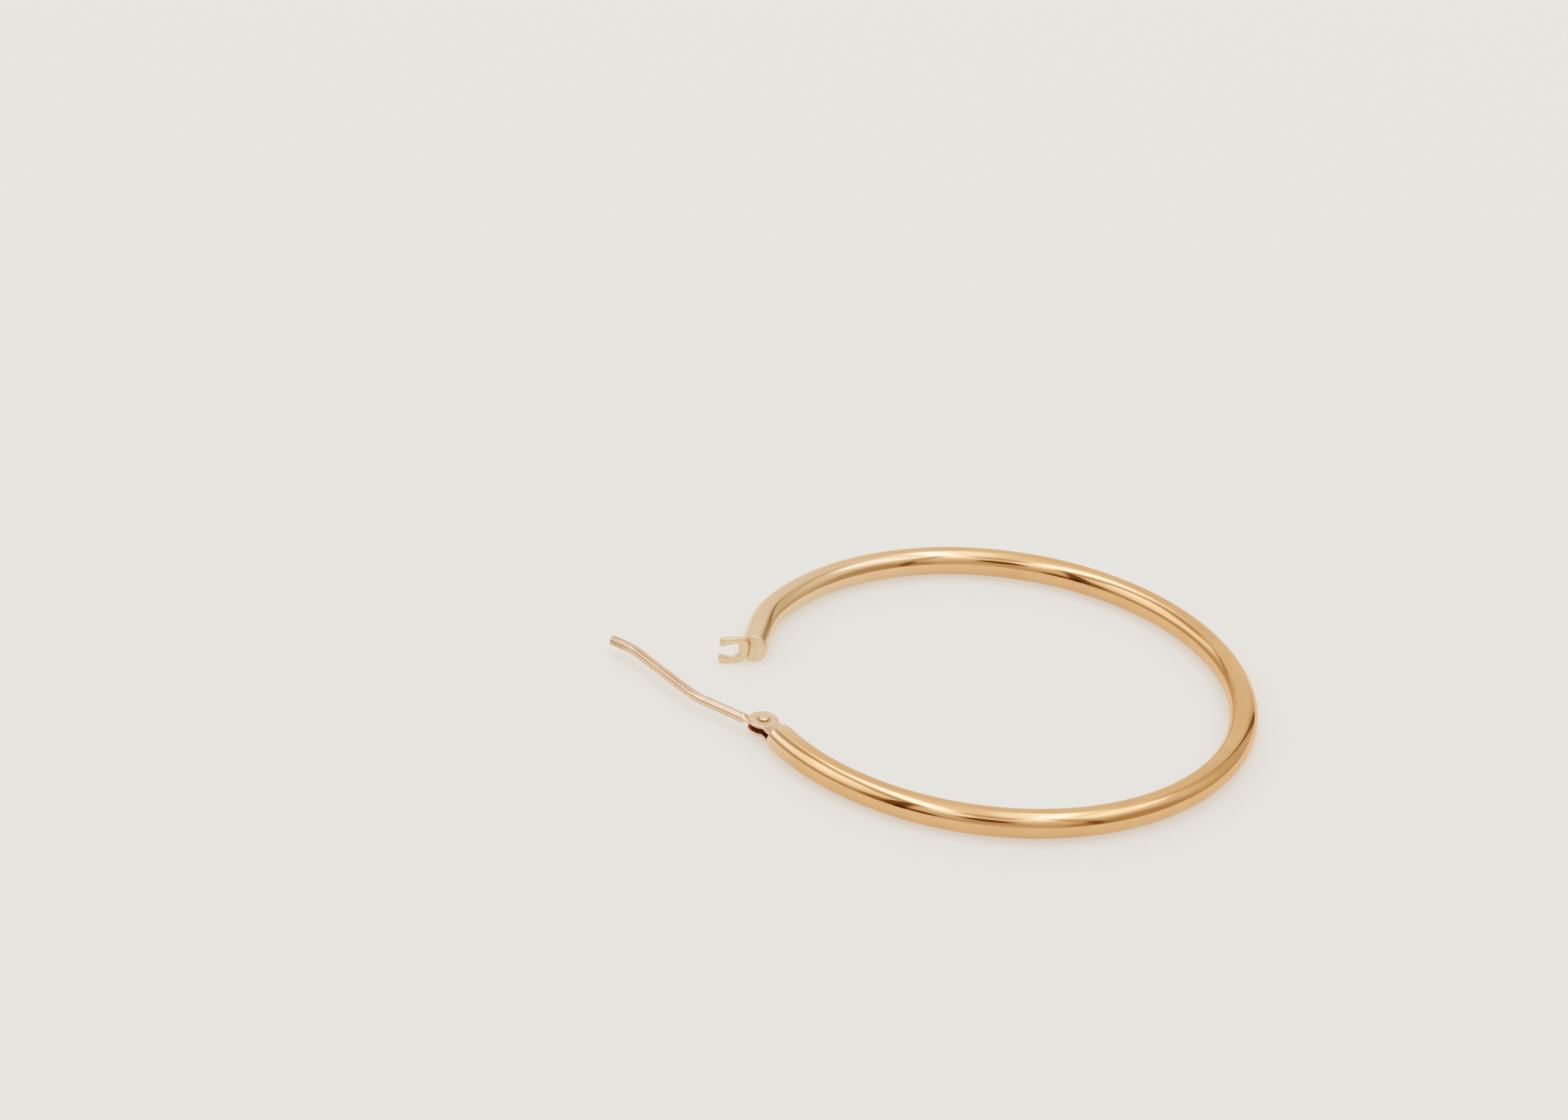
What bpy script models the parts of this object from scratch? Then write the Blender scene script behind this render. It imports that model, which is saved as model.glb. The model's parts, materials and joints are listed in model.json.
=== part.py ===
# Hoop earring: a round gold tube bent into an open hoop, lying on its side.
# A soldered fork catch closes one end of the tube, and a riveted hinge on the other end
# carries the ear wire, which is swung open. Metres, +Z up, the gap for the lobe at -X.
import math

import bmesh
import bpy
import numpy as np
from mathutils import Matrix, Vector

# Hoop: the tube's centre line is a circle in the level plane, and angles are degrees
# about its centre, counter-clockwise from +X.
hoop_radius = 0.01734
tube_radius = 0.0010
gap_middle_angle = 194.3
gap_degrees = 39.4
tube_sides = 24
tube_step_degrees = 3.6

# Near the catch the tube bends in a little and narrows to fit inside its end cap.
catch_bend_in = 0.00040
catch_bend_degrees = 19.0
catch_straight_degrees = 2.0
catch_narrowing = 0.00006
cap_thickness = 0.00028
cap_edge = 0.00008

# Fork catch: a strip bent into a U that opens outwards, soldered on the end cap.
fork_turn = 19.4
fork_back_offset = 0.00036
fork_back_width = 0.00052
fork_length = 0.00206
fork_strip = 0.00042
fork_corner = 0.00062
fork_depth = 0.00040
fork_front = 0.00022
fork_chamfer = 0.00004
solder_half_height = 0.00050
solder_inset = 0.00005
solder_sink = 0.00008

# Hinge: two round ears of folded sheet, with a solder dome on the tube's end.
pivot_reach = 0.00199
pivot_outset = 0.00016
ear_radius = 0.00104
ear_thickness = 0.00023
ear_gap = 0.00038
neck_inset = 0.00032
neck_outset = 0.00006
fold_distance = 0.00042
ear_chamfer = 0.00004
dome_length = 0.00036
dome_end_radius = 0.00060

# Rivet, and the running clearances of the hinge.
rivet_radius = 0.00026
rivet_head_rim = 0.00010
rivet_head_height = 0.00017
rivet_clearance = 0.00002
head_clearance = 0.00001
eye_clearance = 0.00002

# Ear wire: two straight runs and a short tip, joined by two gentle bends.
wire_radius = 0.00034
wire_sides = 12
wire_open_turn = 66.0
wire_outset = 0.00029
first_run = 0.00463
first_bend = -17.3
first_bend_radius = 0.0055
second_bend = 18.5
second_bend_radius = 0.0043
tip_run = 0.0010
wire_past_catch = 0.0046
catch_play = 0.00003
eye_inset = 0.00014
tip_rounding = 0.00014
tongue_half_thickness = 0.00014
tongue_taper = 0.00045
hinge_play = 0.00006

# Derived sizes
catch_end_angle = gap_middle_angle - gap_degrees / 2
hinge_end_angle = gap_middle_angle + gap_degrees / 2
wire_angle = hinge_end_angle - wire_open_turn
neck_half_width = ear_radius - neck_inset
eye_radius = ear_radius - eye_inset
rivet_head_radius = rivet_radius + rivet_head_rim
half_ears = ear_gap / 2 + ear_thickness
eye_half_thickness = ear_gap / 2 - eye_clearance
fork_half_height = tube_radius
slot_half_height = fork_half_height - fork_strip
mouth_half_height = wire_radius + catch_play
fork_tip_radius = (fork_half_height - mouth_half_height) / 2
seat_distance = fork_back_offset + fork_back_width + wire_radius + 2 * catch_play

# Finish of the three pieces
gold_colour = (0.83, 0.60, 0.38, 1.0)
wire_colour = (0.80, 0.56, 0.38, 1.0)
rivet_colour = (0.86, 0.64, 0.41, 1.0)


def clear_scene():
    for item in list(bpy.data.objects):
        bpy.data.objects.remove(item)


def gold(name, colour, roughness):
    material = bpy.data.materials.new(name)
    material.use_nodes = True
    shader = material.node_tree.nodes["Principled BSDF"]
    shader.inputs["Base Color"].default_value = colour
    shader.inputs["Metallic"].default_value = 1.0
    shader.inputs["Roughness"].default_value = roughness
    return material


def polar(radius, degrees):
    angle = math.radians(degrees)
    return Vector((radius * math.cos(angle), radius * math.sin(angle), 0.0))


def arc(centre_x, centre_y, radius, start, end, count):
    """Points of a round stretch from start to end, in degrees, in a flat outline."""
    angles = np.radians(np.linspace(start, end, count))
    return [(centre_x + radius * math.cos(a), centre_y + radius * math.sin(a)) for a in angles]


def add_object(name, vertices, faces, material):
    mesh = bpy.data.meshes.new(name)
    mesh.from_pydata([tuple(v) for v in vertices], [], faces)
    work = bmesh.new()
    work.from_mesh(mesh)
    bmesh.ops.recalc_face_normals(work, faces=work.faces)
    work.to_mesh(mesh)
    work.free()
    mesh.shade_smooth()
    mesh.set_sharp_from_angle(angle=math.radians(35))
    mesh.materials.append(material)
    item = bpy.data.objects.new(name, mesh)
    bpy.context.scene.collection.objects.link(item)
    return item


def loft(name, rings, material):
    """A closed solid through a row of rings with equal counts of points."""
    count = len(rings[0])
    vertices = [point for ring in rings for point in ring]
    faces = [list(range(count))[::-1]]
    for row in range(len(rings) - 1):
        for k in range(count):
            a = row * count + k
            b = row * count + (k + 1) % count
            faces.append([a, b, b + count, a + count])
    faces.append([(len(rings) - 1) * count + k for k in range(count)])
    return add_object(name, vertices, faces, material)


def inset_outline(outline, distance):
    """The outline moved inwards by distance; it runs counter-clockwise."""
    points = np.array(outline)
    before = points - np.roll(points, 1, axis=0)
    after = np.roll(points, -1, axis=0) - points
    before /= np.linalg.norm(before, axis=1)[:, None]
    after /= np.linalg.norm(after, axis=1)[:, None]
    direction = before + after
    direction /= np.linalg.norm(direction, axis=1)[:, None]
    inward = np.stack([-direction[:, 1], direction[:, 0]], axis=1)
    return points + distance * inward


def prism(name, outline, place, low, high, chamfer, material):
    """A flat outline carried from low to high along its normal, with small chamfers."""
    levels = [(low, chamfer), (low + chamfer, 0.0), (high - chamfer, 0.0), (high, chamfer)]
    if chamfer == 0.0:
        levels = [(low, 0.0), (high, 0.0)]
    rings = []
    for height, inset in levels:
        flat = inset_outline(outline, inset)
        rings.append([place @ Vector((x, y, height)) for x, y in flat])
    return loft(name, rings, material)


def turned(name, profile, centre, sides, material):
    """A solid of revolution about the upright axis through centre."""
    rings = []
    for radius, height in profile:
        angles = np.arange(sides) * 2 * math.pi / sides
        ring = [centre + Vector((radius * math.cos(a), radius * math.sin(a), height)) for a in angles]
        rings.append(ring)
    return loft(name, rings, material)


def place_matrix(origin, x_direction, y_direction):
    """Maps flat x, y and their normal to the world."""
    z_direction = x_direction.cross(y_direction)
    place = Matrix((x_direction, y_direction, z_direction)).transposed().to_4x4()
    place.translation = origin
    return place


def combine(body, tool, operation):
    """Adds the tool's form to the body, or cuts it away."""
    boolean = body.modifiers.new(tool.name, "BOOLEAN")
    boolean.operation = operation
    boolean.solver = "EXACT"
    boolean.object = tool
    tool.hide_render = True
    tool.display_type = "WIRE"


def smooth_step(value):
    value = min(max(value, 0.0), 1.0)
    return value * value * (3 - 2 * value)


def catch_ease(angle):
    """0 along the round hoop, rising to 1 at the catch end."""
    start = catch_end_angle - catch_bend_degrees - catch_straight_degrees
    return smooth_step((angle - start) / catch_bend_degrees)


def hoop_ring(angle, radius):
    """One section of the tube, a polygon with a flat side down."""
    centre_radius = hoop_radius - catch_bend_in * catch_ease(angle)
    corner_radius = radius / math.cos(math.pi / tube_sides)
    ring = []
    for k in range(tube_sides):
        turn = (k + 0.5) * 2 * math.pi / tube_sides
        point = polar(centre_radius + corner_radius * math.cos(turn), angle)
        point.z = corner_radius * math.sin(turn)
        ring.append(point)
    return ring


def tube_form(material):
    """The bent tube from its solder dome at the hinge to its cap at the catch."""
    start = hinge_end_angle - 360.0
    degrees_per_metre = math.degrees(1.0 / hoop_radius)
    rings = []
    for k in range(4):
        turn = math.radians(90.0 * k / 4)
        back = dome_length * math.cos(turn)
        radius = dome_end_radius + (tube_radius - dome_end_radius) * math.sin(turn)
        rings.append(hoop_ring(start - back * degrees_per_metre, radius))
    body_end = catch_end_angle - cap_thickness * degrees_per_metre
    steps = round((body_end - start) / tube_step_degrees)
    for angle in np.linspace(start, body_end, steps + 1):
        rings.append(hoop_ring(angle, tube_radius - catch_narrowing * catch_ease(angle)))
    cap_rows = [(cap_thickness - cap_edge / 2, tube_radius), (cap_edge, tube_radius)]
    cap_rows.append((0.0, tube_radius - cap_edge))
    for back, radius in cap_rows:
        rings.append(hoop_ring(catch_end_angle - back * degrees_per_metre, radius))
    return loft("hoop", rings, material)


def fork_outline():
    """The U seen from the gap: x outwards from the cap's centre, y up."""
    tip_x = fork_back_offset + fork_length - fork_tip_radius
    tip_y = mouth_half_height + fork_tip_radius
    back = fork_back_offset
    inner_back = back + fork_back_width
    inner_corner = fork_corner - fork_strip / 2
    bend_x = back + fork_corner
    bend_y = fork_half_height - fork_corner
    inner_x = inner_back + inner_corner
    inner_y = slot_half_height - inner_corner
    outline = arc(tip_x, tip_y, fork_tip_radius, -60, 90, 7)
    outline += arc(bend_x, bend_y, fork_corner, 90, 180, 7)
    outline += arc(bend_x, -bend_y, fork_corner, 180, 270, 7)
    outline += arc(tip_x, -tip_y, fork_tip_radius, -90, 60, 7)
    outline += arc(inner_x, -inner_y, inner_corner, 270, 180, 5)
    outline += arc(inner_x, inner_y, inner_corner, 180, 90, 5)
    return outline


def fork_place():
    centre = polar(hoop_radius - catch_bend_in, catch_end_angle)
    outwards = polar(1.0, catch_end_angle + fork_turn)
    return place_matrix(centre, outwards, Vector((0.0, 0.0, 1.0)))


def fork_form(material):
    low = -fork_front
    return prism("fork_form", fork_outline(), fork_place(), low, low + fork_depth,
                 fork_chamfer, material)


def fork_solder(material):
    """The solder that fills the wedge between the turned fork and the cap."""
    left = fork_back_offset + solder_inset
    right = fork_back_offset + fork_back_width - solder_inset
    outline = [(left, -solder_half_height), (right, -solder_half_height),
               (right, solder_half_height), (left, solder_half_height)]
    deepest = right * math.tan(math.radians(fork_turn)) + solder_sink
    return prism("fork_solder_form", outline, fork_place(), fork_chamfer - fork_front, deepest,
                 0.0, material)


def hinge_place():
    """Flat x from the tube's end towards the pivot, y outwards from the hoop, z up or down."""
    end = polar(hoop_radius, hinge_end_angle)
    outwards = polar(1.0, hinge_end_angle)
    along = polar(1.0, hinge_end_angle - 90.0)
    return place_matrix(end, along, outwards)


def pivot_point():
    return hinge_place() @ Vector((pivot_reach, pivot_outset, 0.0))


def ears_outline():
    """Both ears seen from above: a round eye on a straight neck that enters the tube's end."""
    low = neck_outset - neck_half_width
    high = neck_outset + neck_half_width
    start = math.degrees(math.asin((high - pivot_outset) / ear_radius))
    end = math.degrees(math.asin((low - pivot_outset) / ear_radius))
    outline = arc(pivot_reach, pivot_outset, ear_radius, -180 - end, 180 - start, 25)
    outline += [(-dome_length, high), (-dome_length, low)]
    return outline


def hinge_bracket(material):
    """The folded sheet with its two ears, cut open for the ear wire's eye."""
    place = hinge_place()
    bracket = prism("bracket_form", ears_outline(), place, -half_ears, half_ears,
                    ear_chamfer, material)
    mid_gap = ear_gap / 2
    past_ears = pivot_reach + 2 * ear_radius
    slot_outline = [(past_ears, -mid_gap), (past_ears, mid_gap)]
    slot_outline += arc(fold_distance + mid_gap, 0.0, mid_gap, 90, 270, 7)
    end = place.translation
    along = place.col[0].to_3d()
    slot_place = place_matrix(end, along, Vector((0.0, 0.0, 1.0)))
    slot = prism("slot_form", slot_outline, slot_place, -2 * ear_radius, 2 * ear_radius,
                 0.0, material)
    hole_radius = rivet_radius + rivet_clearance
    hole = turned("ear_hole_form", [(hole_radius, -2 * half_ears), (hole_radius, 2 * half_ears)],
                  pivot_point(), 24, material)
    combine(bracket, slot, "DIFFERENCE")
    combine(bracket, hole, "DIFFERENCE")
    return bracket


def rivet(material):
    """A shaft with a low domed head on each side of the ears."""
    seat = half_ears + head_clearance
    upper = [(rivet_radius, 0.0), (rivet_radius, seat), (rivet_head_radius, seat)]
    for k in range(1, 4):
        turn = math.radians(90.0 * k / 4)
        upper.append((rivet_head_radius * math.cos(turn), seat + rivet_head_height * math.sin(turn)))
    lower = [(radius, -height) for radius, height in reversed(upper[1:])]
    return turned("hinge_rivet", lower + upper[1:], pivot_point(), 16, material)


def wire_path(pivot):
    """Centre line of the ear wire: rows of place and direction, from the eye to the tip."""
    seat = fork_place() @ Vector((seat_distance, 0.0, 0.0))
    length = (seat - pivot).length + wire_past_catch
    bend_lengths = [abs(math.radians(first_bend)) * first_bend_radius,
                    abs(math.radians(second_bend)) * second_bend_radius]
    second_run = length - first_run - tip_run - sum(bend_lengths)
    pieces = [(first_run, 0.0, 7), (bend_lengths[0], first_bend, 7), (second_run, 0.0, 7),
              (bend_lengths[1], second_bend, 7), (tip_run, 0.0, 3)]
    start_direction = polar(1.0, wire_angle)
    point = pivot + wire_outset * Vector((-start_direction.y, start_direction.x, 0.0))
    heading = wire_angle
    path = [(0.0, point.copy(), heading)]
    travelled = 0.0
    for piece_length, turn, steps in pieces:
        for _ in range(steps):
            middle = heading + turn / steps / 2
            point = point + polar(piece_length / steps, middle)
            heading += turn / steps
            travelled += piece_length / steps
            path.append((travelled, point.copy(), heading))
    return path


def shank_half_sizes(distance):
    """Half width and half thickness of the wire at a distance from the pivot."""
    shoulder = ear_radius + hinge_play
    share = smooth_step((distance - shoulder) / tongue_taper)
    thickness = tongue_half_thickness + (wire_radius - tongue_half_thickness) * share
    return wire_radius, thickness


def section(point, heading, half_width, half_thickness):
    side = polar(1.0, heading + 90.0)
    ring = []
    for k in range(wire_sides):
        turn = 2 * math.pi * k / wire_sides
        offset = half_width * math.cos(turn) * side
        offset.z = half_thickness * math.sin(turn)
        ring.append(point + offset)
    return ring


def ear_wire(material):
    """The round wire with its flattened, pierced eye between the hinge's ears."""
    pivot = pivot_point()
    path = wire_path(pivot)
    start = path[0][1]
    shoulder = ear_radius + hinge_play
    rings = []
    for distance in [0.0, shoulder, shoulder + tongue_taper / 3, shoulder + tongue_taper * 2 / 3,
                     shoulder + tongue_taper]:
        place = start + polar(distance, wire_angle)
        rings.append(section(place, wire_angle, *shank_half_sizes(distance)))
    for distance, point, heading in path:
        if distance > shoulder + tongue_taper:
            rings.append(section(point, heading, wire_radius, wire_radius))
    tip, heading = path[-1][1], path[-1][2]
    for share in (0.7, 0.35):
        height = tip_rounding * math.sqrt(1 - share * share)
        place = tip + polar(height, heading)
        rings.append(section(place, heading, share * wire_radius, share * wire_radius))
    rings = [[point - pivot for point in ring] for ring in rings]
    wire = loft("ear_wire", rings, material)
    origin = Vector((0.0, 0.0, 0.0))
    flat = eye_half_thickness
    eye = turned("eye_form", [(eye_radius, -flat), (eye_radius, flat)], origin, 32, material)
    hole_radius = rivet_radius + rivet_clearance
    hole = turned("eye_hole_form", [(hole_radius, -2 * flat), (hole_radius, 2 * flat)],
                  origin, 24, material)
    combine(wire, eye, "UNION")
    combine(wire, hole, "DIFFERENCE")
    for item in (wire, eye, hole):
        item.location = pivot
    return wire


def lowest_and_highest(items):
    """The corners of the box around the finished pieces."""
    graph = bpy.context.evaluated_depsgraph_get()
    points = []
    for item in items:
        mesh = item.evaluated_get(graph).to_mesh()
        points += [item.matrix_world @ vertex.co for vertex in mesh.vertices]
        item.evaluated_get(graph).to_mesh_clear()
    points = np.array([tuple(point) for point in points])
    return points.min(axis=0), points.max(axis=0)


def build():
    clear_scene()
    hoop_gold = gold("polished_gold", gold_colour, 0.18)
    wire_gold = gold("wire_gold", wire_colour, 0.24)
    rivet_gold = gold("rivet_gold", rivet_colour, 0.15)
    hoop = tube_form(hoop_gold)
    combine(hoop, fork_solder(hoop_gold), "UNION")
    combine(hoop, fork_form(hoop_gold), "UNION")
    combine(hoop, hinge_bracket(hoop_gold), "UNION")
    pieces = [hoop, rivet(rivet_gold), ear_wire(wire_gold)]
    bpy.context.view_layer.update()
    low, high = lowest_and_highest(pieces)
    ground = bpy.data.objects.new("earring", None)
    bpy.context.scene.collection.objects.link(ground)
    for item in list(bpy.context.scene.objects):
        if item is not ground:
            item.parent = ground
    ground.location = (-(low[0] + high[0]) / 2, -(low[1] + high[1]) / 2, -low[2])
    bpy.context.view_layer.update()


build()
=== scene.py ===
import json
import bmesh
import bpy
import numpy as np
from mathutils import Matrix


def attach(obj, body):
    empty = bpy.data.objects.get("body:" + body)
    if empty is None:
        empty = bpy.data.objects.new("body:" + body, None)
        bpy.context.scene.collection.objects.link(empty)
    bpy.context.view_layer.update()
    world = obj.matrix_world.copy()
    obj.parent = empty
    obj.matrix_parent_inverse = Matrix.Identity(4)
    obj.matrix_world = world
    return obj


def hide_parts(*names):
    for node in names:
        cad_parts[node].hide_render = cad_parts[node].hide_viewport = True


# Looks for the hoop earring: a round gold tube bent into an open hoop, lying on its side,
# with a fork catch on one end and a riveted swing wire on the other. All in metres.
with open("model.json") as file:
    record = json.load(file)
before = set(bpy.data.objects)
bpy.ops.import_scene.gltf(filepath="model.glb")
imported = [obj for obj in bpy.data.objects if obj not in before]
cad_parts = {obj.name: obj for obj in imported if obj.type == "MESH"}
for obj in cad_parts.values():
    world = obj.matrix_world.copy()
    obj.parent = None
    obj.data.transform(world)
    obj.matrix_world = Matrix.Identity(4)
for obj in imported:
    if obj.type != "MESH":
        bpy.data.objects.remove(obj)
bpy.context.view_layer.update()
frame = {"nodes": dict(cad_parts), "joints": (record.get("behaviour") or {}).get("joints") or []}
print("frame loaded:", sorted(frame["nodes"]))

mm = 0.001
mergeDistance = 0.00002 * mm
flatArea = (0.001 * mm) ** 2  # an end loop this small is shut already
upwards = np.array([0.0, 0.0, 1.0])
pivot = np.array(frame["joints"][0]["pos_m"])  # the rivet's axis, half way up the tube


# Shader maths
class Signal:
    # One socket of a node tree. An expression on signals and numbers adds its Math nodes.
    def __init__(self, tree, socket=None):
        self.tree = tree
        self.socket = socket

    def node(self, kind, settings=None, inputs=None, output=0):
        # stops are a colour ramp's places and grey levels
        made = self.tree.nodes.new(kind)
        for key, value in (settings or {}).items():
            if key == "stops":
                while len(made.color_ramp.elements) < len(value):
                    made.color_ramp.elements.new(0.5)
                for stop, (place, level) in zip(made.color_ramp.elements, value):
                    stop.position = place
                    stop.color = (level, level, level, 1.0)
            else:
                setattr(made, key, value)
        for key, value in (inputs or {}).items():
            if isinstance(value, Signal):
                self.tree.links.new(value.socket, made.inputs[key])
            else:
                made.inputs[key].default_value = value
        return Signal(self.tree, made.outputs[output])

    def maths(self, operation, *others):
        values = dict(enumerate((self, *others)))
        return self.node("ShaderNodeMath", {"operation": operation}, values)

    def __add__(self, other):
        return self.maths("ADD", other)

    def __sub__(self, other):
        return self.maths("SUBTRACT", other)

    def __rsub__(self, other):
        return self.node("ShaderNodeMath", {"operation": "SUBTRACT"}, {0: other, 1: self})

    def __rtruediv__(self, other):
        return self.node("ShaderNodeMath", {"operation": "DIVIDE"}, {0: other, 1: self})

    def __mul__(self, other):
        return self.maths("MULTIPLY", other)

    def __truediv__(self, other):
        return self.maths("DIVIDE", other)

    __radd__ = __add__
    __rmul__ = __mul__

    def part(self, k):
        # the k-th number of a vector
        return self.node("ShaderNodeSeparateXYZ", None, {0: self}, output=k)

    def ease(self, start, end):
        # 0 where the signal is at start, 1 where it is at end, smooth in between
        inputs = {"Value": self, "From Min": start, "From Max": end}
        return self.node("ShaderNodeMapRange", {"interpolation_type": "SMOOTHSTEP"}, inputs)

    def stretched(self, x, y, z):
        inputs = {0: self, 1: (x, y, z)}
        return self.node("ShaderNodeVectorMath", {"operation": "MULTIPLY"}, inputs)

    def noise(self, scale, detail=2.0):
        inputs = {"Vector": self, "Scale": scale, "Detail": detail}
        return self.node("ShaderNodeTexNoise", None, inputs)

    def mixed(self, dark, light):
        # dark where the signal is 0, light where it is 1; both are colours
        inputs = {0: self, 6: dark, 7: light}
        return self.node("ShaderNodeMix", {"data_type": "RGBA"}, inputs, output=2)


# Surfaces
def smoothStep(value):
    # 3 v^2 - 2 v^3 of the value kept between 0 and 1
    value = np.clip(value, 0.0, 1.0)
    return value * value * (3.0 - 2.0 * value)


def polar(radius, degrees):
    # radius times (cos, sin) of the angle, level with the hoop's plane
    turn = np.radians(degrees)
    parts = np.broadcast_arrays(radius * np.cos(turn), radius * np.sin(turn), 0.0)
    return np.stack(parts, axis=-1)


def lumps(points, size, height):
    # sum of three sine waves that run in skew directions, height at most, size apart
    waves = np.array([[1.0, 0.35, -0.6], [-0.45, 1.1, 0.5], [0.7, -0.8, 0.9]])
    phases = np.array([0.3, 1.9, 4.1])
    turns = points @ waves.T * (2.0 * np.pi / size) + phases
    return np.sin(turns).sum(axis=-1) * height / 3.0


def closedSurface(grid, straight=None, ring=False):
    # Points in rows, each row a closed loop. A ring joins its last row to the first. Any
    # other surface gets a pole at each end, unless the loop there is already shut flat.
    # Faces are turned outwards.
    rows, columns = grid.shape[:2]
    points = grid.reshape(-1, 3)
    index = np.arange(rows * columns).reshape(rows, columns)
    if ring:
        index = np.vstack([index, index[:1]])
    beside = np.roll(index, -1, axis=1)
    quads = np.stack([index[:-1], beside[:-1], beside[1:], index[1:]], axis=-1).reshape(-1, 4)
    corners = [quads[:, [0, 1, 2]], quads[:, [0, 2, 3]]]
    if straight is None:
        straight = grid
    along = straight.reshape(-1, 3)
    ends = [] if ring else [(0, beside[0], index[0]), (-1, index[-1], beside[-1])]
    for row, start, end in ends:
        loop = grid[row] - grid[row].mean(axis=0)
        area = np.linalg.norm(np.cross(loop, np.roll(loop, -1, axis=0)).sum(axis=0))
        if area > flatArea:
            pole = np.full(columns, len(points))
            points = np.vstack([points, grid[row].mean(axis=0)])
            along = np.vstack([along, straight[row].mean(axis=0)])
            corners.append(np.stack([pole, start, end], axis=-1))
    faces = np.vstack(corners)
    a, b, c = (points[faces[:, k]] for k in range(3))
    if np.einsum("ij,ij->i", a, np.cross(b, c)).sum() < 0.0:
        faces = faces[:, ::-1]
    return points, faces, along


def addPiece(name, surfaces, material, body, slot, *nodes):
    # Joins closed surfaces into one mesh that rides on a body and stands for CAD nodes
    firsts = np.cumsum([0] + [len(points) for points, _, _ in surfaces[:-1]])
    points = np.vstack([points for points, _, _ in surfaces])
    faces = np.vstack([faces + first for (_, faces, _), first in zip(surfaces, firsts)])
    along = np.vstack([straight for _, _, straight in surfaces])
    mesh = bpy.data.meshes.new(name)
    mesh.from_pydata(points.tolist(), [], faces.tolist())
    layer = mesh.attributes.new("straight", "FLOAT_VECTOR", "POINT")
    layer.data.foreach_set("vector", along.astype(np.float32).ravel())
    work = bmesh.new()
    work.from_mesh(mesh)
    bmesh.ops.remove_doubles(work, verts=work.verts, dist=mergeDistance)
    work.to_mesh(mesh)
    work.free()
    mesh.shade_smooth()
    mesh.materials.append(material)
    piece = bpy.data.objects.new(name, mesh)
    bpy.context.scene.collection.objects.link(piece)
    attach(piece, body)
    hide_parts(*nodes)
    print(name, len(mesh.polygons), "triangles")


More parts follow.
